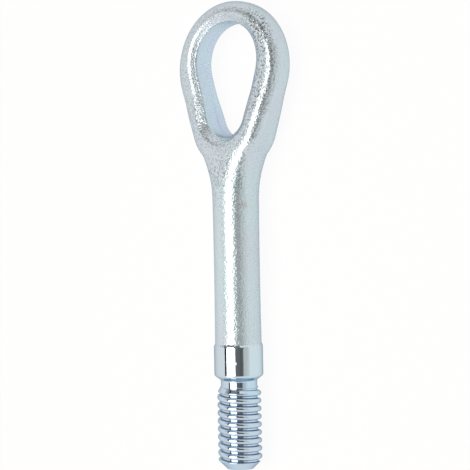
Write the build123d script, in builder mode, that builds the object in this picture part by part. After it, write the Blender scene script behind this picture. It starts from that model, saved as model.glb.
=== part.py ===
"""Screw-in tow eye, forged in one piece from steel and zinc plated.

The eye is an egg-shaped loop. A forged neck carries it into a round, slightly waisted shank. Below
the shank the piece is turned: a locating collar, an undercut and a coarse left-hand thread, cut off
by a chamfered tip.

The piece lies flat, as it comes to rest on a bench. +X runs along the thread's axis from the tip
to the eye, Y is across the eye and +Z is up, square to the eye's plane. The origin is on the axis,
at the thread end of the collar's round wall. Millimetres.
"""

import os
from math import cos, pi, radians, sin, sqrt, tan

from build123d import *

# Thread
thread_dia = 16.0  # over the crests
thread_pitch = 2.87
thread_depth = 1.4
thread_length = 29.9  # from the tip to where the run-out meets the undercut
crest_width = 1.2  # along the axis, between the flanks
crest_rise = 0.42  # of the crest's two bevels
flank_angle = 15.0  # of each flank, from square to the axis
runout_length = 2.4  # in which the crest grows out of the undercut
ridge_bite = 0.3  # of the ridge, into the core
ridge_lead = 3.28  # of the ridge's start, before the tip
tip_dia = 9.8  # flat end of the chamfered tip

# Undercut between the thread and the collar
undercut_length = 1.5
undercut_bevel = 0.7  # of the corner under the collar

# Collar
collar_dia = 17.8
collar_wall = 9.8  # straight, round part
collar_edge_round = 1.8  # at the thread end
collar_edge_steps = 3  # short bevels that make up this round
collar_bevel = 0.8  # at the shank end, along the axis
shoulder_angle = 55.0  # of the cone below the collar, from the axis

# Shank
shank_dia = 16.9  # at both ends
shank_length = 53.1  # from the collar to the forged neck
waist_dia = 16.6  # half way

# Forged neck
neck_lead = 2.9  # from the shank to where the outline starts to spread
neck_hollow = 22.5  # radius of the outline's hollow, in the eye's plane
neck_swell = 0.25  # by which the neck stands over the hollow, then dips under the eye's side
neck_dip = 1.0  # of the neck's end, under the eye's root
neck_delay = 8  # power by which the neck keeps the shank's depth before it dips
neck_steps = 6
neck_reach = 0.85  # of the neck's end, as a share of the hollow's end below the root's centre
round_handle = 0.5523  # of a quarter curve that is round, as a share of its corner
flat_handle = 0.88  # of one with a flat front, as the neck's end has
side_handle = 0.78  # and of its sides

# Eye
root_depth = 16.4  # over the two faces of the eye's root
eye_depth = 11.6  # over the two faces of the loop
taper_start = 4.4  # of the faces' slope, from the eye's outline at the root
taper_end = 26.9  # where the loop has its own depth
taper_blend = 40.0  # radius from the slope into the loop's level faces
eye_radius = 23.5  # outside, at the top
eye_rise = 19.2  # from the centre of the eye's root to that of its top
root_radius = 17.2  # outside, at the eye's root
opening_radius = 13.9  # at the top
opening_lift = 1.9  # of the opening's top, over the middle of the eye's top
foot_radius = 8.7  # of the opening, at its foot
foot_lift = 2.2  # of the foot's centre, over the centre of the eye's root
outer_round = 4.7  # of the outer rims
draft_depth = 2.8  # of the slope into the opening, from each face
draft_width = 2.7

# Radii
crest_radius = thread_dia / 2
core_radius = crest_radius - thread_depth
tip_radius = tip_dia / 2
collar_radius = collar_dia / 2
shank_radius = shank_dia / 2
waist_radius = waist_dia / 2
root_half = root_depth / 2
eye_half = eye_depth / 2

# Places along the axis
shoulder_tan = tan(radians(shoulder_angle / 2))
shoulder_edge = -collar_edge_round * shoulder_tan
shoulder_foot = shoulder_edge - (collar_radius - core_radius) / tan(radians(shoulder_angle))
undercut_end = shoulder_foot - undercut_bevel - undercut_length
tip_end = undercut_end - thread_length
collar_top = collar_wall + collar_bevel
neck_start = collar_top + shank_length

# The outline's hollow touches the side of the shank and the round of the eye's root.
hollow_start = neck_start + neck_lead
hollow_offset = shank_radius + neck_hollow
hollow_reach = sqrt((root_radius + neck_hollow) ** 2 - hollow_offset**2)
root_centre = hollow_start + hollow_reach
root_touch = root_radius * hollow_reach / (root_radius + neck_hollow)
hollow_end = root_centre - root_touch
neck_end = root_centre - neck_reach * root_touch
foot_centre = root_centre + foot_lift
eye_centre = root_centre + eye_rise
eye_foot = root_centre - root_radius
eye_top = eye_centre + eye_radius
slope_start = eye_foot + taper_start
slope_end = eye_foot + taper_end


def outline(x):
    """Half the width of the outline in the eye's plane, from the shank to the eye's root."""
    if x < hollow_start:
        return shank_radius
    if x < hollow_end:
        return hollow_offset - sqrt(neck_hollow**2 - (x - hollow_start) ** 2)
    return sqrt(root_radius**2 - (root_centre - x) ** 2)


def section(x, across, up, front, side):
    """A closed curve square to the axis, of four like quarters, across by up from its middle."""
    with BuildSketch(Plane((x, 0, 0), x_dir=(0, 1, 0), z_dir=(1, 0, 0))) as closed_curve:
        with BuildLine():
            Bezier((across, 0), (across, side * up), (front * across, up), (0, up))
            Bezier((0, up), (-front * across, up), (-across, side * up), (-across, 0))
            Bezier((-across, 0), (-across, -side * up), (-front * across, -up), (0, -up))
            Bezier((0, -up), (front * across, -up), (across, -side * up), (across, 0))
        make_face()
    return closed_curve.sketch


def round_section(x, radius):
    """A circle square to the axis, of four quarters."""
    with BuildSketch(Plane((x, 0, 0), x_dir=(0, 1, 0), z_dir=(1, 0, 0))) as circle:
        with BuildLine():
            for start in (0, 90, 180, 270):
                CenterArc((0, 0), radius, start, 90)
        make_face()
    return circle.sketch


# The collar's rounded edge, from the shoulder's cone to the round wall
edge_step = radians(shoulder_angle) / collar_edge_steps
edge_turns = [edge_step * step for step in range(collar_edge_steps, -1, -1)]
edge_middle = collar_radius - collar_edge_round
collar_edge = [
    (-collar_edge_round * sin(turn), edge_middle + collar_edge_round * cos(turn))
    for turn in edge_turns
]

# Round parts in one turn: tip, thread core, undercut, collar and waisted shank
with BuildPart() as turned:
    with BuildSketch(Plane.XZ) as turned_profile:
        with BuildLine():
            Polyline(
                (neck_start, shank_radius),
                (neck_start, 0),
                (tip_end, 0),
                (tip_end, tip_radius),
                (tip_end + core_radius - tip_radius, core_radius),
                (shoulder_foot, core_radius),
                *collar_edge,
                (collar_wall, collar_radius),
                (collar_top, shank_radius),
            )
            ThreePointArc(
                (collar_top, shank_radius),
                ((collar_top + neck_start) / 2, waist_radius),
                (neck_start, shank_radius),
            )
        make_face()
        undercut_corner = turned_profile.vertices().sort_by_distance((shoulder_foot, core_radius))[0]
        chamfer(undercut_corner, undercut_bevel)
    revolve(axis=Axis.X)

# Thread: one ridge on a left-hand helix, held inside the tip's chamfer and the run-out's cone
ridge_foot = core_radius - ridge_bite
crest_half = crest_width / 2
foot_half = crest_half + (crest_radius - crest_rise - ridge_foot) * tan(radians(flank_angle))
envelope_radius = crest_radius + thread_depth / 2
runout_slope = thread_depth / runout_length
with BuildPart() as thread:
    with BuildLine() as helix:
        Helix(
            thread_pitch,
            ridge_lead + thread_length + thread_pitch / 2,
            crest_radius,
            center=(tip_end - ridge_lead, 0, 0),
            direction=(1, 0, 0),
            lefthand=True,
        )
    helix_start = helix.line @ 0
    outward = Vector(0, helix_start.Y, helix_start.Z)
    with BuildSketch(Plane(helix_start, x_dir=outward, z_dir=helix.line % 0)) as ridge:
        with BuildLine():
            Polyline(
                (ridge_foot - crest_radius, -foot_half),
                (-crest_rise, -crest_half),
                (0, 0),
                (-crest_rise, crest_half),
                (ridge_foot - crest_radius, foot_half),
                close=True,
            )
        make_face()
    sweep(path=helix.line, is_frenet=True)
    with BuildSketch(Plane.XZ):
        with BuildLine():
            Polyline(
                (tip_end, 0),
                (tip_end, tip_radius),
                (tip_end + envelope_radius - tip_radius, envelope_radius),
                (undercut_end - (envelope_radius - core_radius) / runout_slope, envelope_radius),
                (undercut_end + ridge_bite / runout_slope, ridge_foot),
                (undercut_end + ridge_bite / runout_slope, 0),
                close=True,
            )
        make_face()
    revolve(axis=Axis.X, mode=Mode.INTERSECT)

# Eye before it is pierced: an egg-shaped plate, deep at its root, with rounded outer rims
with BuildPart() as eye_blank:
    with BuildSketch(Plane.XY.offset(-root_half)):
        with Locations((eye_centre, 0)):
            Circle(eye_radius)
        with Locations((root_centre, 0)):
            Circle(root_radius)
        make_hull()
    extrude(amount=root_depth)
    with BuildSketch(Plane.XZ) as side_view:
        with BuildLine():
            Polyline(
                (eye_foot, root_half),
                (slope_start, root_half),
                (slope_end, eye_half),
                (eye_top, eye_half),
                (eye_top, -eye_half),
                (slope_end, -eye_half),
                (slope_start, -root_half),
                (eye_foot, -root_half),
                close=True,
            )
        make_face()
        fillet(side_view.vertices().filter_by_position(Axis.X, slope_end, slope_end), taper_blend)
        fillet(side_view.vertices().filter_by_position(Axis.X, slope_start, slope_start), taper_blend)
    extrude(amount=eye_radius, both=True, mode=Mode.INTERSECT)
    fillet(eye_blank.faces().group_by(Axis.X)[-1].edges().filter_by(GeomType.CIRCLE), outer_round)

# The whole forging
with BuildPart() as tow_eye:
    add(turned.part)
    # Neck: sections that leave the shank round, spread along the hollow and flatten into the eye
    neck_sections = [round_section(neck_start, shank_radius)]
    for step in range(1, neck_steps + 1):
        share = step / neck_steps
        ease = (1 - cos(pi * share)) / 2
        x = neck_start + (neck_end - neck_start) * share
        across = outline(x) + neck_swell * sin(3 * pi / 2 * share)
        up = shank_radius + (root_half - neck_dip - shank_radius) * share**neck_delay
        front = round_handle + (flat_handle - round_handle) * ease
        side = round_handle + (side_handle - round_handle) * ease
        neck_sections += [section(x, across, up, front, side)]
    loft(neck_sections)
    add(eye_blank.part)
    # Opening, pierced through the plate, with a slope into it from each face
    with BuildSketch(Plane.XY.offset(-root_half)):
        with Locations((eye_centre + opening_lift, 0)):
            Circle(opening_radius)
        with Locations((foot_centre, 0)):
            Circle(foot_radius)
        make_hull()
    extrude(amount=root_depth, mode=Mode.SUBTRACT)
    opening_top = (eye_centre + opening_lift + opening_radius, 0, 0)
    top_wall = tow_eye.faces().filter_by(GeomType.CYLINDER).sort_by_distance(opening_top)[0]
    rims = top_wall.edges().filter_by(GeomType.CIRCLE)
    chamfer(rims, draft_depth, draft_width, reference=top_wall)
    add(thread.part)

tow_eye.part.label = "tow_eye"
os.makedirs("parts", exist_ok=True)
export_step(tow_eye.part, "parts/tow_eye.step")
print(f"tow_eye: {len(tow_eye.part.solids())} solid, {tow_eye.part.volume / 1000:.1f} cm3")
print(f"from {tip_end:.2f} to {eye_top:.2f} mm along the axis")
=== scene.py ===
# %% [markdown]
# # A forged tow eye in bright zinc
#
# The object is one steel forging: an egg-shaped eye, a neck and a round shank, and below them a turned
# end with a collar, an undercut and a coarse left-hand thread. It is zinc plated all over. This lesson
# dresses the CAD solid: two fine meshes take its place, one for the forged part and one for the turned
# end, each with its own zinc finish, and a small studio lights them as in the photograph.

# %% Load the CAD frame
import math

import bmesh
import bpy
import numpy as np
from mathutils import Matrix, Vector


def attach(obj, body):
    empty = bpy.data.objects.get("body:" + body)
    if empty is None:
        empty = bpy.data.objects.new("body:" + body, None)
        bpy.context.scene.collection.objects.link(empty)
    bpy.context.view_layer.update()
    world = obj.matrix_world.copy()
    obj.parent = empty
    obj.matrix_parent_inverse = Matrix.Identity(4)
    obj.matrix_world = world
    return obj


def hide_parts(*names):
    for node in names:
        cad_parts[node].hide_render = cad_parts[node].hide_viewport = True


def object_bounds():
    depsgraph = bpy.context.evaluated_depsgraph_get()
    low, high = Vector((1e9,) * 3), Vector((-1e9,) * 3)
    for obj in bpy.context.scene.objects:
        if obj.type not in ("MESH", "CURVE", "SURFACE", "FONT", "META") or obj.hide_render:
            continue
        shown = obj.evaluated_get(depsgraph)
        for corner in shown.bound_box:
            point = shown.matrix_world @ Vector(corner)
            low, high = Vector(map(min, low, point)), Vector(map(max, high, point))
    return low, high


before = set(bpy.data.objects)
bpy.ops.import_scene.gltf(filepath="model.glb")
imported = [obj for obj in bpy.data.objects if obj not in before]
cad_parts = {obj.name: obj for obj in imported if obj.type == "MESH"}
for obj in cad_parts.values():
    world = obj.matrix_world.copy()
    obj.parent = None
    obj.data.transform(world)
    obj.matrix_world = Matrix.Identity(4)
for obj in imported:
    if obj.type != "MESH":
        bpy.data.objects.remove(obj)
cad_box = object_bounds()
MM = 0.001
print("CAD box in mm:", [[round(value / MM, 2) for value in corner] for corner in cad_box])

# %% [markdown]
# ## Helpers for node trees
#
# Both the shape of the thread and the finish of the metal are written as node trees. They could be drawn
# by hand in the node editor, but a script can be read, changed and run again. A few short helpers keep
# it readable: `feed` links a socket or types a value into it, `add_node` adds a node with its settings,
# `calc` and `ramp` hand back the result of a math node or a Map Range node, and `new_group` makes a tree
# with named inputs and outputs.

# %% Node helpers
def feed(tree, socket, value):
    """Link a socket to another one, or type a plain value into it."""
    if isinstance(value, bpy.types.NodeSocket):
        tree.links.new(value, socket)
    else:
        socket.default_value = value


def add_node(tree, kind, operation=None, **inputs):
    """Add a node. Its inputs are named by their labels, or by number as i0, i1 and i2."""
    node = tree.nodes.new(kind)
    if operation:
        node.operation = operation
    for key, value in inputs.items():
        numbered = key[0] == "i" and key[1:].isdigit()
        label = int(key[1:]) if numbered else key.replace("_", " ")
        feed(tree, node.inputs[label], value)
    return node


def calc(tree, operation, a, b=0.0, c=0.0):
    """Add a math node and hand back its result."""
    return add_node(tree, "ShaderNodeMath", operation, i0=a, i1=b, i2=c).outputs[0]


def ramp(tree, value, span, low=0.0, high=1.0):
    """Bring a value from a span to the range from low to high, held at both ends."""
    start, end = span
    node = add_node(tree, "ShaderNodeMapRange", Value=value, From_Min=start, From_Max=end,
                    To_Min=low, To_Max=high)
    return node.outputs[0]


print("helpers ready: feed, add_node, calc, ramp")

# %% A helper for groups
NUMBER, PLACE, COLOUR = "NodeSocketFloat", "NodeSocketVector", "NodeSocketColor"


def new_group(name, kind, inputs, outputs):
    """Make a tree with named sockets, and hand back the tree, its inputs and its outputs."""
    tree = bpy.data.node_groups.new(name, kind)
    for side, sockets in (("INPUT", inputs), ("OUTPUT", outputs)):
        for label, socket_type, *value in sockets:
            socket = tree.interface.new_socket(label, in_out=side, socket_type=socket_type)
            if value:
                socket.default_value = value[0]
    return tree, tree.nodes.new("NodeGroupInput").outputs, tree.nodes.new("NodeGroupOutput").inputs


print("helper ready: new_group")

# %% [markdown]
# ## Finish: the grain of the forged steel
#
# A forging is shot blasted before it is plated, so its skin is full of small dimples, under a millimetre
# wide, over a slow waviness left by the dies. The zinc covers both and stays glossy, which makes the
# edges of its highlights sparkle. A painted image of such a skin would stretch over the eye's curves; a
# pattern that is worked out in space fits every shape. Fine noise makes the uneven skin, and the cells of
# a Voronoi texture add the dimples: the square of the distance from a cell's middle is a bowl. The group
# puts out a height in millimetres for a Bump node, clouds that vary the gloss and the colour, and a mask
# of the deepest pits, which the forged finish paints grey: partly the plating's own grey, partly painted
# shade.

# %% Node group: blasted grain
BOWL_SHARE = 0.4
PIT_SPAN = (0.52, 0.34)
WAVES_PER_MM, CLOUDS_PER_MM = 0.22, 0.5
grain, grain_in, grain_out = new_group(
    "Blasted Grain", "ShaderNodeTree",
    [("Vector", PLACE), ("Dimple Size", NUMBER, 0.5),
     ("Dimple Depth", NUMBER, 0.1), ("Wave Depth", NUMBER, 0.02)],
    [("Height", NUMBER), ("Mottle", NUMBER), ("Pits", NUMBER)],
)
spot = grain_in["Vector"]
per_metre = calc(grain, "DIVIDE", 1 / MM, grain_in["Dimple Size"])
cells = add_node(grain, "ShaderNodeTexVoronoi", Vector=spot, Scale=per_metre)
bowls = calc(grain, "POWER", cells.outputs["Distance"], 2.0)
fine = add_node(grain, "ShaderNodeTexNoise", Vector=spot, Scale=per_metre, Detail=1.0).outputs["Fac"]
dimpled = calc(grain, "MULTIPLY_ADD", bowls, BOWL_SHARE, fine)
skin = calc(grain, "MULTIPLY", dimpled, grain_in["Dimple Depth"])
waves = add_node(grain, "ShaderNodeTexNoise", Vector=spot, Scale=WAVES_PER_MM / MM, Detail=1.0)
clouds = add_node(grain, "ShaderNodeTexNoise", Vector=spot, Scale=CLOUDS_PER_MM / MM,
                  Detail=4.0, Roughness=0.7)
height = calc(grain, "MULTIPLY_ADD", waves.outputs["Fac"], grain_in["Wave Depth"], skin)
grain.links.new(height, grain_out["Height"])
grain.links.new(clouds.outputs["Fac"], grain_out["Mottle"])
grain.links.new(ramp(grain, fine, PIT_SPAN), grain_out["Pits"])
print("group", grain.name, "with", len(grain.nodes), "nodes")

# %% [markdown]
# ## Finish: the zinc's tint
#
# Clear passivated zinc is a cool silver. The passivation is a thin film, so its tint drifts slowly over
# the piece, from lavender to a pale sea green, with small clouds in it. One flat colour would look like
# paint, so the second group mixes these tints. All the surfaces share it, and differ only in their
# colours and in the size of the drift.

# %% Node group: zinc tint
FILM_SPAN, CLOUD_SPAN = (0.35, 0.65), (0.45, 0.75)
CLOUD_SHARE = 0.6


def mix_colours(tree, share, first, second):
    """Mix two colours and hand back the result."""
    node = tree.nodes.new("ShaderNodeMix")
    node.data_type = "RGBA"
    for index, value in ((0, share), (6, first), (7, second)):
        feed(tree, node.inputs[index], value)
    return node.outputs[2]


tint, tint_in, tint_out = new_group(
    "Zinc Tint", "ShaderNodeTree",
    [("Vector", PLACE), ("Mottle", NUMBER, 0.5), ("Drift Size", NUMBER, 20.0),
     ("Lavender", COLOUR, (0.6, 0.685, 0.75, 1)), ("Sea Green", COLOUR, (0.59, 0.715, 0.765, 1)),
     ("Cloud", COLOUR, (0.64, 0.705, 0.725, 1))],
    [("Color", COLOUR)],
)
per_metre = calc(tint, "DIVIDE", 1 / MM, tint_in["Drift Size"])
drift = add_node(tint, "ShaderNodeTexNoise", Vector=tint_in["Vector"], Scale=per_metre, Detail=1.0)
film = ramp(tint, drift.outputs["Fac"], FILM_SPAN)
cloudy = ramp(tint, tint_in["Mottle"], CLOUD_SPAN, high=CLOUD_SHARE)
sheen = mix_colours(tint, film, tint_in["Lavender"], tint_in["Sea Green"])
tint.links.new(mix_colours(tint, cloudy, sheen, tint_in["Cloud"]), tint_out["Color"])
print("group", tint.name, "with", len(tint.nodes), "nodes")

# %% [markdown]
# ## Finish: nicks and spots
#
# A tow eye lies loose in a box with tools, so its zinc has a few nicks, dents and stains. Each one could
# be cut into the mesh, but it is only a few of its squares wide, too few for a crisp edge. So each is a
# mask round a place on the piece, with a ragged edge from a little noise, which a material then uses as
# a colour or a height.

# %% Node group: nick
EDGES_PER_MM, RAGGED_SHARE = 2.5, 1.2
NICK_SPAN, NOISE_MIDDLE = (0.5, 1.0), 0.5
nick, nick_in, nick_out = new_group(
    "Nick", "ShaderNodeTree",
    [("Vector", PLACE), ("Place", PLACE), ("Radius", NUMBER, 0.5)],
    [("Mask", NUMBER)],
)
away = add_node(nick, "ShaderNodeVectorMath", "DISTANCE", i0=nick_in["Vector"], i1=nick_in["Place"])
radii = calc(nick, "DIVIDE", calc(nick, "DIVIDE", away.outputs["Value"], MM), nick_in["Radius"])
edge = add_node(nick, "ShaderNodeTexNoise", Vector=nick_in["Vector"], Scale=EDGES_PER_MM / MM, Detail=2.0)
uneven = calc(nick, "SUBTRACT", edge.outputs["Fac"], NOISE_MIDDLE)
ragged = calc(nick, "MULTIPLY_ADD", uneven, RAGGED_SHARE, radii)
nick.links.new(ramp(nick, ragged, NICK_SPAN, low=1.0, high=0.0), nick_out["Mask"])
print("group", nick.name, "with", len(nick.nodes), "nodes")

# %% [markdown]
# ## The two zinc finishes
#
# The Principled shader stays in each material, and the groups feed it. Five more helpers follow: one
# starts a zinc material, one places a group in it, one reads a value that is painted on the mesh's
# points, one turns a height into a bump, and one turns millimetres into a place.

# %% Material helpers
ZINC_EDGE_TINT = (0.45, 0.5, 0.55, 1)


def zinc(name, metallic):
    """Start a zinc material, and hand back its parts and the place on the piece."""
    material = bpy.data.materials.new(name)
    material.use_nodes = True
    tree = material.node_tree
    shader = tree.nodes["Principled BSDF"]
    shader.inputs["Metallic"].default_value = metallic
    shader.inputs["Specular Tint"].default_value = ZINC_EDGE_TINT
    return material, tree, shader, tree.nodes.new("ShaderNodeTexCoord").outputs["Object"]


def use_group(tree, group, **inputs):
    """Place a group in a material and hand back its outputs."""
    node = tree.nodes.new("ShaderNodeGroup")
    node.node_tree = group
    for label, value in inputs.items():
        feed(tree, node.inputs[label.replace("_", " ")], value)
    return node.outputs


def painted(tree, name):
    """Read a value that is painted on the mesh's points."""
    node = tree.nodes.new("ShaderNodeAttribute")
    node.attribute_name = name
    return node.outputs["Fac"]


def bump_by(tree, shader, height):
    """Bump the surface by a height in millimetres."""
    bump = add_node(tree, "ShaderNodeBump", Strength=1.0, Distance=MM, Height=height)
    tree.links.new(bump.outputs["Normal"], shader.inputs["Normal"])


def at(*place):
    """A place on the piece, given in millimetres."""
    return tuple(value * MM for value in place)


print("helpers ready: zinc, use_group, painted, bump_by, at")

# %% [markdown]
# ### Forged zinc
#
# The forged skin has the coarse grain, and the grey painted in its pits shows most on the neck and the
# eye; that grey is partly the plating's own and partly painted shade. The wall of the opening is another
# surface: a punch cut it, so it is smooth and bluer, with a dark line where the flash was trimmed off.
# One material with painted masks suits this better than two, because the grain then fades out over the
# corner as it does on the real piece.

# %% Forged zinc: colour
PIT_GREY_AND_SHADE, TRIM_BLUE, STAIN_BROWN = (0.2, 0.2, 0.21, 1), (0.36, 0.5, 0.64, 1), (0.42, 0.3, 0.2, 1)
PIT_SHARE, TRIM_SHARE, STAIN_SHARE = 0.5, 0.45, 0.3
forged_zinc, tree, shader, place = zinc("forged zinc", metallic=0.65)
skin = use_group(tree, grain, Vector=place, Dimple_Size=0.72, Dimple_Depth=0.13, Wave_Depth=0.01)
front = use_group(tree, tint, Vector=place, Mottle=skin["Mottle"])["Color"]
# The grey in the pits is partly the plating's own grey and partly painted shade.
pit_share = calc(tree, "MULTIPLY", painted(tree, "pit_grey_and_shade"), PIT_SHARE)
front = mix_colours(tree, calc(tree, "MULTIPLY", skin["Pits"], pit_share), front, PIT_GREY_AND_SHADE)
wall = use_group(tree, tint, Vector=place, Mottle=skin["Mottle"], Drift_Size=6.0,
                 Lavender=(0.61, 0.70, 0.84, 1), Sea_Green=(0.59, 0.76, 0.83, 1),
                 Cloud=(0.6, 0.72, 0.82, 1))["Color"]
wall = mix_colours(tree, calc(tree, "MULTIPLY", painted(tree, "trim_line"), TRIM_SHARE), wall, TRIM_BLUE)
colour = mix_colours(tree, painted(tree, "trimmed"), front, wall)
stain = use_group(tree, nick, Vector=place, Place=at(60.5, -7.3, 4.2), Radius=1.6)["Mask"]
colour = mix_colours(tree, calc(tree, "MULTIPLY", stain, STAIN_SHARE), colour, STAIN_BROWN)
tree.links.new(colour, shader.inputs["Base Color"])
print("material", forged_zinc.name, "has its colour")

# %% Forged zinc: gloss and grain
MOTTLE_SPAN, BLASTED_SPAN = (0.3, 0.7), (0.8, 1.0)
SHANK_ROUGHNESS, EYE_ROUGHNESS, CLOUD_ROUGHNESS = 0.26, 0.19, (-0.03, 0.05)
FORGED_NICKS = (
    (at(44.8, -8.0, 2.4), 0.6, -0.08),
    (at(43.7, -8.15, 1.8), 0.5, -0.08),
    (at(84.4, -9.2, 8.1), 0.8, 0.12),
)
blasted = painted(tree, "blasted")
gloss = ramp(tree, skin["Mottle"], MOTTLE_SPAN, *CLOUD_ROUGHNESS)
satin = ramp(tree, blasted, BLASTED_SPAN, SHANK_ROUGHNESS, EYE_ROUGHNESS)
tree.links.new(calc(tree, "ADD", gloss, satin), shader.inputs["Roughness"])
height = calc(tree, "MULTIPLY", skin["Height"], blasted)
for nick_place, radius, depth in FORGED_NICKS:
    mask = use_group(tree, nick, Vector=place, Place=nick_place, Radius=radius)["Mask"]
    height = calc(tree, "MULTIPLY_ADD", mask, depth, height)
bump_by(tree, shader, height)
print("material", forged_zinc.name, "with", len(FORGED_NICKS), "nicks")

# %% [markdown]
# ### Turned zinc
#
# The turned end is bright: an even skin, a high gloss and the faint rings that a cutting tool leaves. The
# rings could be cut into the mesh, but they are only half a thousandth of a millimetre deep, so a bump is
# enough. On the thread the film is bluer. In the corners at the foot of the ridge the colour is darker:
# this is painted shade, where those corners fall in shadow. The thread's own mesh carries that corner as
# a painted value.

# %% Turned zinc
CORNER_SHADE_BLUE, CORNER_SHADE_SHARE = (0.16, 0.24, 0.3, 1), 0.27
RINGS_PER_MM, RING_DEPTH, DENT_DEPTH = 1.2, 0.0005, -0.09
BLUE_SPAN, TURNED_ROUGHNESS = (0.5 * MM, -2.5 * MM), (0.05, 0.1)
turned_zinc, tree, shader, place = zinc("turned zinc", metallic=1.0)
skin = use_group(tree, grain, Vector=place, Dimple_Size=0.7, Dimple_Depth=0.003, Wave_Depth=0.006)
plain = use_group(tree, tint, Vector=place, Mottle=skin["Mottle"])["Color"]
blue = use_group(tree, tint, Vector=place, Mottle=skin["Mottle"], Lavender=(0.56, 0.66, 0.77, 1),
                 Sea_Green=(0.52, 0.69, 0.8, 1), Cloud=(0.56, 0.69, 0.78, 1))["Color"]
along = add_node(tree, "ShaderNodeSeparateXYZ", Vector=place).outputs["X"]
colour = mix_colours(tree, ramp(tree, along, BLUE_SPAN), plain, blue)
# Painted shade: a darker blue in the corners at the foot of the ridge, where shade falls.
corner_shade_share = calc(tree, "MULTIPLY", painted(tree, "corner_shade"), CORNER_SHADE_SHARE)
tree.links.new(mix_colours(tree, corner_shade_share, colour, CORNER_SHADE_BLUE), shader.inputs["Base Color"])
tree.links.new(ramp(tree, skin["Mottle"], MOTTLE_SPAN, *TURNED_ROUGHNESS), shader.inputs["Roughness"])
rings = add_node(tree, "ShaderNodeTexWave", Vector=place, Scale=RINGS_PER_MM / MM,
                 Distortion=0.6, Detail=2.0)
rings.bands_direction = "X"
height = calc(tree, "MULTIPLY_ADD", rings.outputs["Fac"], RING_DEPTH, skin["Height"])
dent = use_group(tree, nick, Vector=place, Place=at(4.2, -4.25, 7.82), Radius=0.8)["Mask"]
bump_by(tree, shader, calc(tree, "MULTIPLY_ADD", dent, DENT_DEPTH, height))
print("material", turned_zinc.name)

# %% [markdown]
# ## The turned end
#
# The tip, thread, undercut and collar are all one rule: a radius that depends on the place along the
# axis and, on the thread, on the turn round it. A screw modifier could make the thread and a spin the
# rest, but their joins would show. Geometry Nodes make both at once: a flat grid is rolled into a tube,
# and each point's radius comes from cones and a helical ridge, joined by smooth minimum and maximum,
# which round the crests and corners as thread rolling and turning leave them. The sizes are those of the
# CAD solid, in millimetres, as named inputs.

# %% Sizes of the turned end
turned_sizes = {
    "Tip End": -34.6475,
    "Tip Radius": 4.9,
    "Root Radius": 6.6,
    "Crest Radius": 8.0,
    "Pitch": 2.87,
    "Crest Place": 0.1,
    "Crest Half Width": 0.86,
    "Crest Rise": 0.42,
    "Flank Angle": math.radians(15.0),
    "Runout End": -4.7475,
    "Runout Slope": 1.4 / 2.4,
    "Shoulder Foot": -2.5475,
    "Shoulder Angle": math.radians(55.0),
    "Collar Radius": 8.9,
    "Collar Wall": 9.8,
    "Collar Bevel": 0.5625,
    "Raggedness": 1.6,
    "Hidden End": 11.4,
}
turned_counts = {"Rows": 520, "Segments": 180}
print(len(turned_sizes), "sizes and", len(turned_counts), "counts for the turned end")

# %% Geometry Nodes: the grid to roll
FACE_SHARE, THREAD_SHARE = 0.02, 0.8
rolled, roll_in, roll_out = new_group(
    "Turned End", "GeometryNodeTree",
    [("Geometry", "NodeSocketGeometry")]
    + [(name, NUMBER, value) for name, value in turned_sizes.items()]
    + [(name, "NodeSocketInt", value) for name, value in turned_counts.items()]
    + [("Finish", "NodeSocketMaterial")],
    [("Geometry", "NodeSocketGeometry")],
)


def roll(operation, a, b=0.0, c=0.0):
    """Add a math node to the turned end's tree."""
    return calc(rolled, operation, a, b, c)


grid = add_node(rolled, "GeometryNodeMeshGrid", Vertices_X=roll_in["Rows"],
                Vertices_Y=roll("ADD", roll_in["Segments"], 1))
position = rolled.nodes.new("GeometryNodeInputPosition").outputs[0]
spot = add_node(rolled, "ShaderNodeSeparateXYZ", Vector=position)
share = roll("ADD", spot.outputs["X"], 0.5)
turn = roll("ADD", spot.outputs["Y"], 0.5)
angle = roll("MULTIPLY", turn, 2 * math.pi)

# The first rows make the flat of the tip, the next the thread, and the last, wider apart, the collar.
thread_run = ramp(rolled, share, (FACE_SHARE, THREAD_SHARE), roll_in["Tip End"], roll_in["Shoulder Foot"])
collar_length = roll("SUBTRACT", roll_in["Hidden End"], roll_in["Shoulder Foot"])
along = roll("ADD", thread_run, ramp(rolled, share, (THREAD_SHARE, 1.0), 0.0, collar_length))
print("grid of", turned_counts["Rows"], "rows by", turned_counts["Segments"], "segments")

# %% [markdown]
# The thread comes first. The distance from the nearest crest, measured on a left-hand helix, gives the
# height of the ridge: a round cap in the middle, a steep flank on each side, and a cone that lets the
# ridge run out into the undercut.

# %% Geometry Nodes: thread
CREST_ROUND, RUNOUT_ROUND, ROOT_ROUND = 0.25, 0.3, 0.12
pitches = roll("DIVIDE", roll("SUBTRACT", along, roll_in["Crest Place"]), roll_in["Pitch"])
off_crest = roll("MULTIPLY", roll("PINGPONG", roll("ADD", pitches, turn), 0.5), roll_in["Pitch"])
cap_drop = roll("DIVIDE", roll_in["Crest Rise"], roll("POWER", roll_in["Crest Half Width"], 2))
cap = roll("SUBTRACT", roll_in["Crest Radius"], roll("MULTIPLY", roll("POWER", off_crest, 2), cap_drop))
past_cap = roll("SUBTRACT", off_crest, roll_in["Crest Half Width"])
flank_fall = roll("DIVIDE", past_cap, roll("TANGENT", roll_in["Flank Angle"]))
flank_top = roll("SUBTRACT", roll_in["Crest Radius"], roll_in["Crest Rise"])
ridge = roll("SMOOTH_MIN", cap, roll("SUBTRACT", flank_top, flank_fall), CREST_ROUND)
to_runout = roll("SUBTRACT", roll_in["Runout End"], along)
runout = roll("MULTIPLY_ADD", to_runout, roll_in["Runout Slope"], roll_in["Root Radius"])
ridge = roll("SMOOTH_MIN", ridge, runout, RUNOUT_ROUND)
threaded = roll("SMOOTH_MAX", ridge, roll_in["Root Radius"], ROOT_ROUND)
print("thread of", round(turned_sizes["Pitch"], 2), "mm pitch")

# %% [markdown]
# The collar is the shoulder's cone up to the round wall, then a bevel down to the shank. On the real
# piece the cutting tool ran out into rough forged skin there, so a little noise makes that edge ragged.
# The tip is a chamfer of 45 degrees and a flat.

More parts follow.
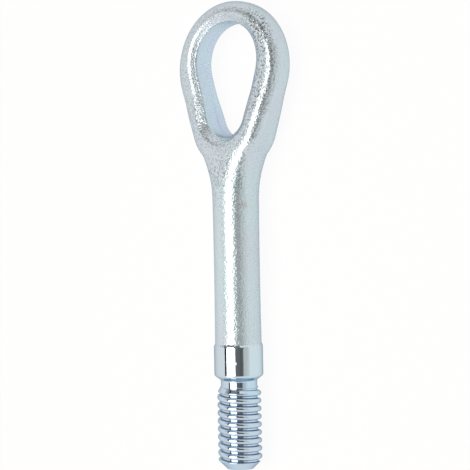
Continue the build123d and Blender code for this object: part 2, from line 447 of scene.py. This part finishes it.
# %% Geometry Nodes: collar and tip
SHOULDER_ROUND, BEVEL_ROUND, UNDERCUT_ROUND, CHAMFER_ROUND = 1.2, 0.15, 0.8, 0.3
RAGGED_SCALE = 9.0
past_foot = roll("SUBTRACT", along, roll_in["Shoulder Foot"])
cone = roll("MULTIPLY_ADD", past_foot, roll("TANGENT", roll_in["Shoulder Angle"]), roll_in["Root Radius"])
collar = roll("SMOOTH_MIN", cone, roll_in["Collar Radius"], SHOULDER_ROUND)
round_place = add_node(rolled, "ShaderNodeCombineXYZ", X=roll("COSINE", angle), Y=roll("SINE", angle))
ragged = add_node(rolled, "ShaderNodeTexNoise", Vector=round_place.outputs[0],
                  Scale=RAGGED_SCALE, Detail=3.0)
uneven = roll("SUBTRACT", ragged.outputs["Fac"], NOISE_MIDDLE)
bevel_start = roll("MULTIPLY_ADD", uneven, roll_in["Raggedness"], roll_in["Collar Wall"])
to_bevel = roll("SUBTRACT", bevel_start, along)
bevel = roll("MULTIPLY_ADD", to_bevel, roll_in["Collar Bevel"], roll_in["Collar Radius"])
collar = roll("SMOOTH_MIN", collar, bevel, BEVEL_ROUND)
outside = roll("SMOOTH_MAX", threaded, collar, UNDERCUT_ROUND)
chamfer = roll("ADD", roll("SUBTRACT", along, roll_in["Tip End"]), roll_in["Tip Radius"])
outside = roll("SMOOTH_MIN", outside, chamfer, CHAMFER_ROUND)
flat = roll("MULTIPLY", roll("DIVIDE", share, FACE_SHARE), roll_in["Tip Radius"])
radius = roll("MULTIPLY", roll("MINIMUM", outside, flat), MM)
print("collar of", turned_sizes["Collar Radius"], "mm radius")

# %% [markdown]
# The painted corner shade is the value that the turned finish reads: 1 at the foot of the ridge, and 0
# where the ridge isn't grown and on the tip. It darkens those corners as shade would. Last, the points go
# to their places, the seam and the pole are merged, and the tree ends in Realize Instances and Set
# Material, so that the result is a plain mesh.

# %% Geometry Nodes: painted corner shade and output
FOOT_PAST_CREST, FOOT_SPAN, TIP_SPAN = 0.22, (0.05, 0.22), (6.2, 7.0)
MERGE_WITHIN = 0.002 * MM
foot_half = roll("ADD", roll_in["Crest Half Width"], FOOT_PAST_CREST)
off_foot = roll("ABSOLUTE", roll("SUBTRACT", off_crest, foot_half))
in_corner = ramp(rolled, off_foot, FOOT_SPAN, low=1.0, high=0.0)
grown = ramp(rolled, runout, (roll_in["Root Radius"], roll_in["Crest Radius"]))
# Painted shade: 1 in the corners at the foot of the ridge, where the turned finish darkens the colour.
corner_shade = roll("MULTIPLY", roll("MULTIPLY", in_corner, grown), ramp(rolled, chamfer, TIP_SPAN))
marked = add_node(rolled, "GeometryNodeStoreNamedAttribute", Geometry=grid.outputs["Mesh"],
                  Name="corner_shade", Value=corner_shade)
point = add_node(rolled, "ShaderNodeCombineXYZ", X=roll("MULTIPLY", along, MM),
                 Y=roll("MULTIPLY", radius, roll("COSINE", angle)),
                 Z=roll("MULTIPLY", radius, roll("SINE", angle)))
tube = add_node(rolled, "GeometryNodeSetPosition", Geometry=marked.outputs[0], Position=point.outputs[0])
closed = add_node(rolled, "GeometryNodeMergeByDistance", Geometry=tube.outputs[0], Distance=MERGE_WITHIN)
smooth = add_node(rolled, "GeometryNodeSetShadeSmooth", Geometry=closed.outputs[0])
real = add_node(rolled, "GeometryNodeRealizeInstances", Geometry=smooth.outputs[0])
finished = add_node(rolled, "GeometryNodeSetMaterial", Geometry=real.outputs[0],
                    Material=roll_in["Finish"])
rolled.links.new(finished.outputs[0], roll_out["Geometry"])
print("tree", rolled.name, "with", len(rolled.nodes), "nodes")

# %% [markdown]
# An empty object carries the tree as a modifier. Its inputs are set by their identifiers before the tree
# first runs, the result is kept as a plain mesh, and the carrier goes. The tube is open where it ends
# inside the shank, so that end is filled: a closed mesh can also be printed or weighed.

# %% Make the turned end a plain mesh
def place_mesh(name, mesh, material):
    """Make an object of a mesh, with one material."""
    piece = bpy.data.objects.new(name, mesh)
    bpy.context.scene.collection.objects.link(piece)
    mesh.materials.clear()
    mesh.materials.append(material)
    return piece


carrier = place_mesh("turned end carrier", bpy.data.meshes.new("turned end carrier"), turned_zinc)
modifier = carrier.modifiers.new("Turned End", "NODES")
modifier.node_group = rolled
turned_inputs = {**turned_sizes, **turned_counts, "Finish": turned_zinc}
for item in rolled.interface.items_tree:
    if item.in_out == "INPUT" and item.name in turned_inputs:
        modifier[item.identifier] = turned_inputs[item.name]
evaluated = carrier.evaluated_get(bpy.context.evaluated_depsgraph_get())
turned_mesh = bpy.data.meshes.new_from_object(evaluated)
bpy.data.objects.remove(carrier)
print("turned end:", len(turned_mesh.polygons), "faces")

# %% Close the end that is hidden in the shank
work = bmesh.new()
work.from_mesh(turned_mesh)
bmesh.ops.holes_fill(work, edges=work.edges[:], sides=0)
bmesh.ops.recalc_face_normals(work, faces=work.faces)
open_edges = sum(edge.is_boundary for edge in work.edges)
work.to_mesh(turned_mesh)
work.free()
turned_end = place_mesh("turned_end", turned_mesh, turned_zinc)
print("turned end has", open_edges, "open edges")

# %% [markdown]
# ## The forged part
#
# The CAD mesh has the right form, but its facets would show in a glossy metal. The form could be modelled
# again under a subdivision surface, but then it would no longer be the CAD's own. So a merged copy is cut
# off inside the collar, remeshed into small even squares and relaxed: each point moves toward the mean
# of its neighbours and then a little back, which takes out the facets and keeps the size. It also
# leaves the soft edges that a forging has. The shank is then set exactly round, with its slight waist.

# %% Merge, cut and remesh a copy of the CAD solid
CUT_AT = 7.5 * MM
VOXEL = 0.346 * MM
WELD_WITHIN = 0.001 * MM
blank_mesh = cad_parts["tow_eye"].data.copy()
work = bmesh.new()
work.from_mesh(blank_mesh)
bmesh.ops.remove_doubles(work, verts=work.verts, dist=WELD_WITHIN)
cut = bmesh.ops.bisect_plane(work, geom=work.verts[:] + work.edges[:] + work.faces[:],
                             plane_co=(CUT_AT, 0, 0), plane_no=(-1, 0, 0), clear_outer=True)
rim = [item for item in cut["geom_cut"] if isinstance(item, bmesh.types.BMEdge)]
bmesh.ops.edgeloop_fill(work, edges=rim)
bmesh.ops.recalc_face_normals(work, faces=work.faces)
work.to_mesh(blank_mesh)
work.free()
blank = place_mesh("forged blank", blank_mesh, forged_zinc)
remesh = blank.modifiers.new("Remesh", "REMESH")
remesh.mode = "VOXEL"
remesh.voxel_size = VOXEL
forged_mesh = bpy.data.meshes.new_from_object(blank.evaluated_get(bpy.context.evaluated_depsgraph_get()))
bpy.data.objects.remove(blank)
print("forged part:", len(forged_mesh.polygons), "faces after remeshing")

# %% Relax the facets
RELAX_STEPS = 40
RELAX_IN, RELAX_OUT = 0.6, -0.615
points = np.empty(len(forged_mesh.vertices) * 3)
forged_mesh.vertices.foreach_get("co", points)
points = points.reshape(-1, 3)
edges = np.empty(len(forged_mesh.edges) * 2, int)
forged_mesh.edges.foreach_get("vertices", edges)
edges = edges.reshape(-1, 2)
ends = np.concatenate([edges[:, 0], edges[:, 1]])
others = np.concatenate([edges[:, 1], edges[:, 0]])
neighbours = np.bincount(ends, minlength=len(points))[:, None]


def relax(points, amount):
    """Move each point by a share of the way to the mean of its neighbours."""
    total = np.stack([np.bincount(ends, points[others, axis], len(points)) for axis in range(3)], axis=1)
    return points + amount * (total / neighbours - points)


stepped = points
for step in range(RELAX_STEPS):
    points = relax(relax(points, RELAX_IN), RELAX_OUT)
print("relaxed by up to", round(float(np.abs(points - stepped).max() / MM), 2), "mm")

# %% Set the shank round
COLLAR_TOP, NECK_START = 10.6, 63.7
SHANK_RADIUS, WAIST_RADIUS = 8.45, 8.3
SKIN_FROM, FADE = 8.0, 4.0
x = points[:, 0] / MM
halfway = (COLLAR_TOP + NECK_START) / 2
shank = WAIST_RADIUS + (SHANK_RADIUS - WAIST_RADIUS) * ((x - halfway) / (NECK_START - halfway)) ** 2
reach = np.hypot(points[:, 1], points[:, 2])
hold = np.clip((NECK_START + 1 - x) / FADE, 0, 1) * (reach > SKIN_FROM * MM)
hold = hold * hold * (3 - 2 * hold)
grow = 1 + hold * (shank * MM / np.maximum(reach, MM) - 1)
points[:, 1:] *= grow[:, None]
print("shank set round over", int((hold > 0).sum()), "points")

# %% [markdown]
# ## The eye's front
#
# In the CAD solid, the front of the eye slopes straight into the opening. On the real piece the die made
# it a dome there, and light runs over it in soft bands. A bevel can't give that, but a rule can: each
# point knows how far it is from the edge of the opening and from the outline, and moves by that. Both
# outlines are eggs, which are two circles and their two tangents.

# %% Where each point lies on the eye
OPENING_EGG = (93.663, 8.7, 112.563, 13.9)
OUTLINE_EGG = (91.463, 17.2, 110.663, 23.5)
SLOPE_START, SLOPE_END = 78.663, 101.163
ROOT_HALF, EYE_HALF = 8.2, 5.8
LOOP_FADE = 8.0


def off_egg(x, y, foot, foot_radius, top, top_radius):
    """Distance from an egg-shaped outline, given by the places and radii of its two circles."""
    apart = top - foot
    lean = (foot_radius - top_radius) / apart
    upright = math.sqrt(1 - lean**2)
    aside, ahead = np.abs(y), x - foot
    level = upright * ahead - lean * aside
    by_side = upright * aside + lean * ahead - foot_radius
    by_foot = np.hypot(aside, ahead) - foot_radius
    by_top = np.hypot(aside, ahead - apart) - top_radius
    return np.where(level < 0, by_foot, np.where(level > upright * apart, by_top, by_side))


def rise(value, start, length):
    """0 up to start, and 1 from a length later."""
    return np.clip((value - start) / length, 0, 1)


x, y, z = (points / MM).T
from_opening = off_egg(x, y, *OPENING_EGG)
from_outline = np.maximum(-off_egg(x, y, *OUTLINE_EGG), 0)
face = np.interp(x, [SLOPE_START, SLOPE_END], [ROOT_HALF, EYE_HALF])
on_eye = x > SLOPE_START
on_loop = rise(x, SLOPE_END - LOOP_FADE, LOOP_FADE)
print("eye:", int(on_eye.sum()), "points, loop:", int((on_loop == 1).sum()), "points")

# %% [markdown]
# The dome's slope is steepest at the edge of the opening and fades to nothing. On the two limbs, most of
# all low down, the dome is rounder and a little wider than at the top and the foot, so its width and the
# power of its curve change along the eye. The CAD's straight draft is taken off, and the dome is put on
# in its place.

# %% Dome the front toward the opening
DRAFT_DEPTH, DRAFT_WIDTH = 2.8, 2.7
DOME_WIDTH, DOME_POWER, DOME_FALL = 3.3, 5.0, 2.1384
ROUNDER_AT, ROUNDER = [87.0, 92.0, 98.0, 105.0, 116.0, 124.0], [0.0, 1.0, 1.0, 0.55, 0.55, 0.0]
WIDER, LOWER_POWER, LESS_FALL = 1.1, 2.8, 0.2


def raise_faces(amount, full_from):
    """Raise both faces by an amount, less so for points that lie deeper than full_from."""
    points[:, 2] += np.sign(z) * amount * np.clip(np.abs(z) / full_from, 0, 1) * MM


rounder = np.interp(x, ROUNDER_AT, ROUNDER)
width = DOME_WIDTH + WIDER * rounder
power = DOME_POWER - LOWER_POWER * rounder
inward = np.clip(from_opening, 0, width)
fall = (width - inward) - (width**power - inward**power) / (power * width ** (power - 1))
edge_fall = DOME_FALL * (1 - LESS_FALL * rounder)
domed = face - edge_fall * fall / (width * (1 - 1 / power))
drafted = face - DRAFT_DEPTH + np.maximum(from_opening, 0) * DRAFT_DEPTH / DRAFT_WIDTH
lift = (domed - np.minimum(face, drafted)) * on_eye
raise_faces(lift, face - DRAFT_DEPTH)
print("front moved by", round(float(lift.min()), 2), "to", round(float(lift.max()), 2), "mm")

# %% [markdown]
# Four small things bring the loop nearer to the real forging. Its outer rims are rounded a little more
# than the CAD's, its outline is a touch slimmer where the neck meets the eye and wider at the loop, the
# crown of the front lies to one side, and the two dies were not quite in line.

# %% Rims, outline, crown and dies
RIM_ROUND, REAL_ROUND = 4.7, 5.0
OUTLINE_AT, OUTLINE_SHARE = [74, 80, 86, 92, 101, 108, 116], [0, -0.02, -0.032, -0.01, 0.008, 0.004, 0]
CROWN_SHIFT, DIE_SHIFT = 0.75, 0.2
DIE_FADE, HALF_FADE = 15.0, 2.5


def rim_drop(radius):
    """How far a round rim lies below the front, at each point."""
    return radius - np.sqrt(radius**2 - (radius - np.minimum(from_outline, radius)) ** 2)


rim_lift = (rim_drop(RIM_ROUND) - rim_drop(REAL_ROUND)) * on_loop
raise_faces(rim_lift, face - RIM_ROUND)
points[:, 1] *= 1 + np.interp(x, OUTLINE_AT, OUTLINE_SHARE)
across = np.clip(from_opening / np.maximum(from_opening + from_outline, 1), 0, 1)
crown = np.sin(math.pi * across) ** 2 * on_loop * rise(z, 0, HALF_FADE)
points[:, 1] -= CROWN_SHIFT * crown * MM
points[:, 1] += DIE_SHIFT * rise(x, SLOPE_START, DIE_FADE) * np.clip(z / HALF_FADE, -1, 1) * MM
print("rims moved by", round(float(rim_lift.min()), 2), "to", round(float(rim_lift.max()), 2), "mm")

# %% [markdown]
# The forged finish reads four values from the points: where the wall of the opening was punched, where
# its trim line runs, how strongly the skin was blasted, and how grey its pits are, a grey that is partly
# painted shade. They could be worked out in the material, but here the distances are already at hand. The
# grain grows toward the top of the loop and is weaker on one limb. The grey is strongest on the neck, on
# the other limb and in one patch near the top; on that limb and in the patch it is painted shade, where
# the reflections are dark.

# %% Paint the wall and its trim line
WALL_SKIN, WALL_FADE = 0.4, 0.3
LINE_PLACE, LINE_WIDTH = -0.6, 0.4
LINE_AT, LINE_SHADE = [86.0, 92.0, 104.0], [1.0, 0.9, 0.2]
on_skin = 1 - rise(np.abs(from_opening), 0, WALL_SKIN)
on_wall = on_skin * rise(face - DRAFT_DEPTH - np.abs(z), 0, WALL_FADE)
trimmed = np.where(on_eye, on_wall, 0.0)
line = np.exp(-(((z - LINE_PLACE) / LINE_WIDTH) ** 2))
trim_line = line * np.interp(x, LINE_AT, LINE_SHADE)
print("wall of", int((trimmed > 0.5).sum()), "points")

# %% Paint the grain, and the grey and painted shade of the pits
BLASTED_AT, BLASTED = [66.0, 84.0, 105.0, 128.0], [0.8, 1.0, 1.1, 1.35]
PITTED_AT, PITTED = [58.0, 68.0, 73.0, 79.0, 88.0], [0.2, 1.2, 1.2, 0.6, 0.9]
WALL_LOSS, LIMB_LOSS = 0.97, 0.4
PATCH, PATCH_SIZE, PATCH_SHADE, LIMB_SHADE = (123.0, -16.0), 4.5, 2.0, 0.9
smooth_limb = rise(y, 4, 10) * rise(x, 86, 10)
blasted = np.interp(x, BLASTED_AT, BLASTED) * (1 - WALL_LOSS * trimmed) * (1 - LIMB_LOSS * smooth_limb)
on_faces = rise(np.abs(z), 3.5, 2.5)
on_front = rise(z, 2.0, 2.0)
grey_limb = rise(-y, 8, 6) * rise(x, 90, 8) * on_front
# The patch and the limb's grey are painted shade, where the reflections are dark.
patch = np.exp(-(((x - PATCH[0]) / PATCH_SIZE) ** 2) - ((y - PATCH[1]) / PATCH_SIZE) ** 2) * on_front
pit_grey_and_shade = np.interp(x, PITTED_AT, PITTED) * on_faces + PATCH_SHADE * patch + LIMB_SHADE * grey_limb
marks = {"trimmed": trimmed, "blasted": blasted, "pit_grey_and_shade": pit_grey_and_shade, "trim_line": trim_line}
for name, values in marks.items():
    forged_mesh.attributes.new(name, "FLOAT", "POINT").data.foreach_set("value", values)
print("painted on the points:", ", ".join(marks))

# %% Put the points in place, inside the CAD box
low, high = (np.array(corner) for corner in cad_box)
points = np.clip(points, low, high)
forged_mesh.vertices.foreach_set("co", points.ravel())
forged_mesh.shade_smooth()
forged_eye = place_mesh("forged_eye", forged_mesh, forged_zinc)
print("forged part:", len(forged_mesh.vertices), "points in place")

# %% [markdown]
# ## Fit the pieces to the frame
#
# Both meshes stand for the one CAD node, so each replaces it and rides on its body.

# %% Fit the pieces
for piece in (forged_eye, turned_end):
    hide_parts("tow_eye")
    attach(piece, "root")
print("pieces on body root:", forged_eye.name, "and", turned_end.name)

# %% [markdown]
# ## Studio: floor and world
#
# The part lies on white paper in a white room. Enough light to make the paper white would wash out the
# part. So Light Path tells which rays come from the camera, or from metal that mirrors the room, and
# those see plain white, with a trace of the part's shadow on the paper. All other rays see a dimmer
# room.

# %% Floor
FLOOR, FLOOR_HALF = cad_box[0][2], 2.5
PAPER_GLOW = 0.93


def in_view(tree, path):
    """1 for rays from the camera, and for those that metal or glass sends on."""
    seen = calc(tree, "MAXIMUM", path["Is Camera Ray"], path["Is Glossy Ray"])
    return calc(tree, "MAXIMUM", seen, path["Is Transmission Ray"])


floor_mesh = bpy.data.meshes.new("floor")
signs = ((-1, -1), (1, -1), (1, 1), (-1, 1))
corners = [(along * FLOOR_HALF, aside * FLOOR_HALF, FLOOR) for along, aside in signs]
floor_mesh.from_pydata(corners, [], [(0, 1, 2, 3)])
paper = bpy.data.materials.new("white paper")
paper.use_nodes = True
tree = paper.node_tree
tree.nodes.remove(tree.nodes["Principled BSDF"])
seen = in_view(tree, tree.nodes.new("ShaderNodeLightPath").outputs)
matt = add_node(tree, "ShaderNodeBsdfDiffuse", Color=(0.95, 0.95, 0.95, 1))
glow = add_node(tree, "ShaderNodeEmission", Strength=1.0)
share = calc(tree, "MULTIPLY", seen, PAPER_GLOW)
both = add_node(tree, "ShaderNodeMixShader", i0=share, i1=matt.outputs[0], i2=glow.outputs[0])
tree.links.new(both.outputs[0], tree.nodes["Material Output"].inputs["Surface"])
floor = place_mesh("floor", floor_mesh, paper)
print("floor at", round(FLOOR / MM, 2), "mm")

# %% World
ROOM_LIGHT = 0.45
WARM_WHITE, WHITE = (1.0, 0.965, 0.955, 1), (1.0, 1.0, 1.0, 1)
world = bpy.data.worlds.new("studio")
bpy.context.scene.world = world
world.use_nodes = True
tree = world.node_tree
path = tree.nodes.new("ShaderNodeLightPath").outputs
level = calc(tree, "MULTIPLY_ADD", in_view(tree, path), 1 - ROOM_LIGHT, ROOM_LIGHT)
room = tree.nodes["Background"].inputs
tree.links.new(level, room["Strength"])
tree.links.new(mix_colours(tree, path["Is Camera Ray"], WARM_WHITE, WHITE), room["Color"])
print("room light", ROOM_LIGHT, "of white")

# %% [markdown]
# ## Studio: lamp and flags
#
# A long soft lamp hangs over the part, and its mirror image is the white band along the shank and the
# limbs. Bright metal shows what stands round it, so the dark lines beside that band need something dark
# to mirror. A photographer hangs black and grey felt there, called flags. Here a flag is a strip of
# faces that only reflections see, so it takes no light away. Its shade is painted on its points and runs
# smoothly from dark to pale, and a fine nap in the dark felt keeps the reflection from looking flat.

# %% Lamp
LAMP_LENGTH, LAMP_WIDTH, LAMP_POWER = 1.06, 0.45, 2.4
LAMP_PLACE, LAMP_TURN = (0.03, -0.005, 0.5), math.radians(-15)
lamp_data = bpy.data.lights.new("soft box", "AREA")
lamp_data.shape = "ELLIPSE"
lamp_data.size = LAMP_LENGTH
lamp_data.size_y = LAMP_WIDTH
lamp_data.energy = LAMP_POWER
lamp_data.color = (1.0, 0.94, 0.88)
lamp = bpy.data.objects.new("soft box", lamp_data)
lamp.location = LAMP_PLACE
lamp.rotation_euler = (0, 0, LAMP_TURN)
lamp.visible_camera = False
bpy.context.scene.collection.objects.link(lamp)
print("lamp at", [round(value, 3) for value in lamp.location])

# %% Felt
FOLDS_PER_METRE = (250, 30, 30)
NAP_SPAN, NAP_LOW, NAP_HIGH = (0.3, 0.7), 0.75, 1.25
felt = bpy.data.materials.new("felt")
felt.use_nodes = True
tree = felt.node_tree
tree.nodes.remove(tree.nodes["Principled BSDF"])
shade = painted(tree, "shade")
place = tree.nodes.new("ShaderNodeTexCoord").outputs["Object"]
folds = add_node(tree, "ShaderNodeMapping", Vector=place, Scale=FOLDS_PER_METRE)
nap = add_node(tree, "ShaderNodeTexNoise", Vector=folds.outputs[0], Scale=1.0, Detail=2.0).outputs["Fac"]
napped = calc(tree, "MULTIPLY", shade, ramp(tree, nap, NAP_SPAN, NAP_LOW, NAP_HIGH))

# Pale felt shows less nap, and none is brighter than white.
least = calc(tree, "MULTIPLY_ADD", shade, 2.0, -1.0)
level = calc(tree, "MINIMUM", calc(tree, "MAXIMUM", napped, least), 1.0)
glow = add_node(tree, "ShaderNodeEmission", Color=(1.0, 0.97, 0.94, 1), Strength=level)
tree.links.new(glow.outputs[0], tree.nodes["Material Output"].inputs["Surface"])
print("material", felt.name)

# %% Flags along the part
CAMERA_SIDE = Vector((0, -0.6443, 0.7637))
ACROSS = Vector((0, -0.7637, -0.6443))
FLAG_AWAY, FLAG_ENDS = 0.42, (-0.15, 0.45)
DARK_TURNS = (-16.5, 0, 10, 20.5, 22, 32, 40, 46, 52)
DARK_SHADES = (0.18, 0.17, 0.13, 0.17, 0.65, 0.7, 0.76, 0.85, 0.94)


def card(name, rows, shades):
    """A strip of felt through rows of two corners, with a shade for each row."""
    mesh = bpy.data.meshes.new(name)
    faces = [(2 * row, 2 * row + 1, 2 * row + 3, 2 * row + 2) for row in range(len(rows) - 1)]
    mesh.from_pydata([corner for row in rows for corner in row], [], faces)
    mesh.attributes.new("shade", "FLOAT", "POINT").data.foreach_set("value", np.repeat(shades, 2))
    piece = place_mesh(name, mesh, felt)
    for ray in ("camera", "diffuse", "shadow", "transmission", "volume_scatter"):
        setattr(piece, "visible_" + ray, False)


def flag(name, turns, shades):
    """A card bent round the part's axis, at turns in degrees from the camera's side."""
    rows = []
    for turn in map(math.radians, turns):
        toward = CAMERA_SIDE * math.cos(turn) + ACROSS * math.sin(turn)
        rows += [[toward * FLAG_AWAY + Vector((end, 0, 0)) for end in FLAG_ENDS]]
    card(name, rows, shades)


flag("thin flag", (-68, -58), (0.03, 0.03))
flag("dark flag", DARK_TURNS, DARK_SHADES)
print("flags hung", FLAG_AWAY, "m from the axis")

# %% [markdown]
# Two more flags hang level at the lamp's far end. One lies just over the lamp and greys the top and the
# foot of the eye. The small one lies just under the lamp and hides its far end from reflections, which
# leaves the darker patch at one shoulder of the loop.

# %% Flags at the lamp's end
OVER_LAMP, UNDER_LAMP = 0.51, 0.495
END_REACH, CORNER_REACH = 0.95, 0.7
END_STARTS = ((0.5, -0.45), (0.42, 0.05), (0.34, 0.15), (0.34, 0.3), (0.34, 0.5), (0.34, 0.75))
CORNER_STARTS = ((0.34, -0.25), (0.34, 0.17))
END_SHADES, CORNER_SHADES = (0.14, 0.14, 0.14, 0.24, 0.5, 0.7), (0.3, 0.3)


def level_rows(starts, reach, height):
    """Rows of a level card, from their starts to one reach."""
    return [[(start, side, height), (reach, side, height)] for start, side in starts]


card("end flag", level_rows(END_STARTS, END_REACH, OVER_LAMP), END_SHADES)
card("corner flag", level_rows(CORNER_STARTS, CORNER_REACH, UNDER_LAMP), CORNER_SHADES)
print("flags hung at", OVER_LAMP, "and", UNDER_LAMP, "m")

# %% [markdown]
# ## Camera
#
# The photograph shows the eye at the top of the picture, turned about 40 degrees away from a full face
# view. The part lies here, so the camera looks down on it, with the part's +X upward in the picture. It
# could be placed by eye, but here its place, tilt and angle of view were fitted to the part's outline.

# %% Camera
TILT, VIEW_ANGLE = math.radians(1.057), math.radians(21.295)
camera_data = bpy.data.cameras.new("camera")
camera = bpy.data.objects.new("camera", camera_data)
bpy.context.scene.collection.objects.link(camera)
stand = Vector((0.05436, -0.28894, 0.34852))
target = Vector((0.04982, 0.00063, 0.0))
look = (target - stand).normalized()
level_right = look.cross(Vector((1, 0, 0))).normalized()
level_up = level_right.cross(look)
right = level_right * math.cos(TILT) - level_up * math.sin(TILT)
upward = level_right * math.sin(TILT) + level_up * math.cos(TILT)
aim = Matrix((right, upward, -look)).transposed()
camera.matrix_world = Matrix.Translation(stand) @ aim.to_4x4()
camera_data.angle = VIEW_ANGLE
bpy.context.scene.camera = camera
bpy.context.scene.view_settings.view_transform = "Standard"
print("camera at", [round(value, 3) for value in stand])
